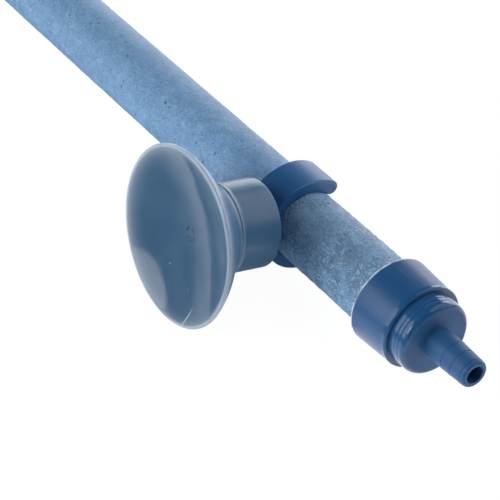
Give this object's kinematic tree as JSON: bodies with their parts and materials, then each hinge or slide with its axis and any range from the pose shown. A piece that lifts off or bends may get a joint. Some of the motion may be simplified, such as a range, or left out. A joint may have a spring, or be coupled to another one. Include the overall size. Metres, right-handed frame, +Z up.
{
  "type": "bubble wall tube",
  "caption": "Porous aquarium bubble tube with a push-on inlet cap and hose nozzle, a closed end cap, and two C-clips carrying soft suction cups.",
  "frame": {"origin": "on the surface the part lies on, under the middle of its box", "axes": "+X along the tube towards the hose nozzle, -Y towards the suction cups, +Z up"},
  "size_m": [0.3, 0.0388, 0.033],
  "materials": {
    "porous_tube": "fine sandy grain, dusty light steel blue, open pores",
    "cap_plastic": "moulded, semi-gloss deep blue",
    "clip_plastic": "moulded, semi-gloss deep blue",
    "soft_vinyl": "soft translucent grey-blue vinyl, glossy dish, satin stalk"
  },
  "bodies": {
    "root": {"porous_tube": "porous_tube", "inlet_cap": "cap_plastic", "end_cap": "cap_plastic", "clip_inlet_end": "clip_plastic", "clip_closed_end": "clip_plastic", "suction_cup_inlet_end": "soft_vinyl", "suction_cup_closed_end": "soft_vinyl"}
  },
  "joints": []
}
